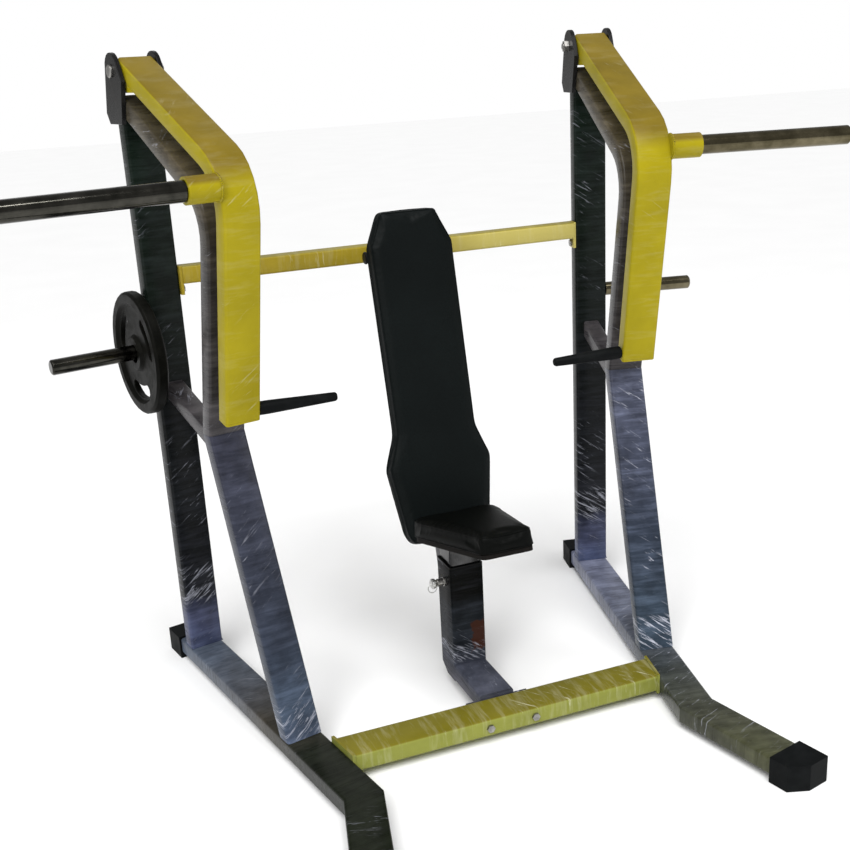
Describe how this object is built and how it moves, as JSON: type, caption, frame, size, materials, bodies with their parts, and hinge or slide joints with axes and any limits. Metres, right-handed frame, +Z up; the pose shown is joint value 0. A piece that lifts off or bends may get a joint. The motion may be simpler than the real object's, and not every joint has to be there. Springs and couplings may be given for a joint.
{
  "type": "chest press machine",
  "caption": "Plate-loaded chest press: two press arms on top pivots over a toed-in tube frame, a reclined backrest, a seat on a pedestal, and storage horns with one weight plate.",
  "frame": {"origin": "on the floor, at the centre of the footprint of the bounding box", "axes": "+X across the machine, towards its right-hand arm as seen from the front; +Y to the rear; +Z up"},
  "size_m": [2.163, 1.4628, 1.791],
  "materials": {
    "frame_paint": "gloss charcoal powder coat under clear stretch wrap",
    "arm_paint": "yellow powder coat under clear stretch wrap",
    "plate_paint": "satin black powder coat",
    "horn_chrome": "dark polished chrome",
    "bright_steel": "zinc plated",
    "rubber": "matte moulded",
    "plate_rubber": "moulded over the plate",
    "vinyl": "soft black vinyl, fine grain",
    "plastic": "moulded black nylon",
    "board": "plywood, unpainted edges"
  },
  "bodies": {
    "base": {"left_rail": "frame_paint", "left_upright": "frame_paint", "left_top_post": "frame_paint", "left_front_leg": "frame_paint", "left_brace": "frame_paint", "left_front_boot": "rubber", "left_rear_boot": "rubber", "left_outer_ear": "plate_paint", "left_inner_ear": "plate_paint", "left_pivot_shaft": "bright_steel", "left_pivot_nut": "bright_steel", "left_arm_bumper": "rubber", "left_storage_horn": "horn_chrome", "left_beam_bolt": "bright_steel", "left_pedestal_bolt": "bright_steel", "left_cross_plug": "plastic", "right_rail": "frame_paint", "right_upright": "frame_paint", "right_top_post": "frame_paint", "right_front_leg": "frame_paint", "right_brace": "frame_paint", "right_front_boot": "rubber", "right_rear_boot": "rubber", "right_outer_ear": "plate_paint", "right_inner_ear": "plate_paint", "right_pivot_shaft": "bright_steel", "right_pivot_nut": "bright_steel", "right_arm_bumper": "rubber", "right_storage_horn": "horn_chrome", "right_beam_bolt": "bright_steel", "right_pedestal_bolt": "bright_steel", "right_cross_plug": "plastic", "low_beam": "arm_paint", "high_beam": "arm_paint", "pedestal": "frame_paint", "sleeve_bushing": "plastic", "pop_pin_housing": "bright_steel", "back_pad": "vinyl", "back_board": "board", "back_spine": "frame_paint", "back_standoff": "frame_paint"},
    "left_arm": {"left_press_arm": "arm_paint", "left_arm_end_cap": "arm_paint", "left_weight_horn": "horn_chrome", "left_handle_grip": "rubber", "left_outer_bearing": "bright_steel", "left_inner_bearing": "bright_steel"},
    "right_arm": {"right_press_arm": "arm_paint", "right_arm_end_cap": "arm_paint", "right_weight_horn": "horn_chrome", "right_handle_grip": "rubber", "right_outer_bearing": "bright_steel", "right_inner_bearing": "bright_steel"},
    "seat": {"seat_post": "frame_paint", "seat_plate": "frame_paint", "seat_board": "board", "seat_pad": "vinyl"},
    "pop_pin": {"pop_pin": "bright_steel"},
    "weight_plate": {"weight_plate": "plate_rubber"}
  },
  "joints": [
    {"name": "left_press", "type": "hinge", "parent": "base", "child": "left_arm", "pos_m": [-0.67087, 0.56274, 1.745], "axis": [-0.977, -0.213, 0], "range_deg": [0, 50]},
    {"name": "right_press", "type": "hinge", "parent": "base", "child": "right_arm", "pos_m": [0.67087, 0.56274, 1.745], "axis": [-0.977, 0.213, 0], "range_deg": [0, 50]},
    {"name": "seat_height", "type": "slide", "parent": "base", "child": "seat", "axis": [0, 0, 1], "range_m": [0, 0.16]},
    {"name": "pin_pull", "type": "slide", "parent": "base", "child": "pop_pin", "axis": [-1, 0, 0], "range_m": [0, 0.012], "stiffness_N_per_m": 800, "springref_m": -0.006},
    {"name": "plate_lift_off", "type": "slide", "parent": "base", "child": "weight_plate", "axis": [-0.977, -0.213, 0], "range_m": [0, 0.3]}
  ]
}
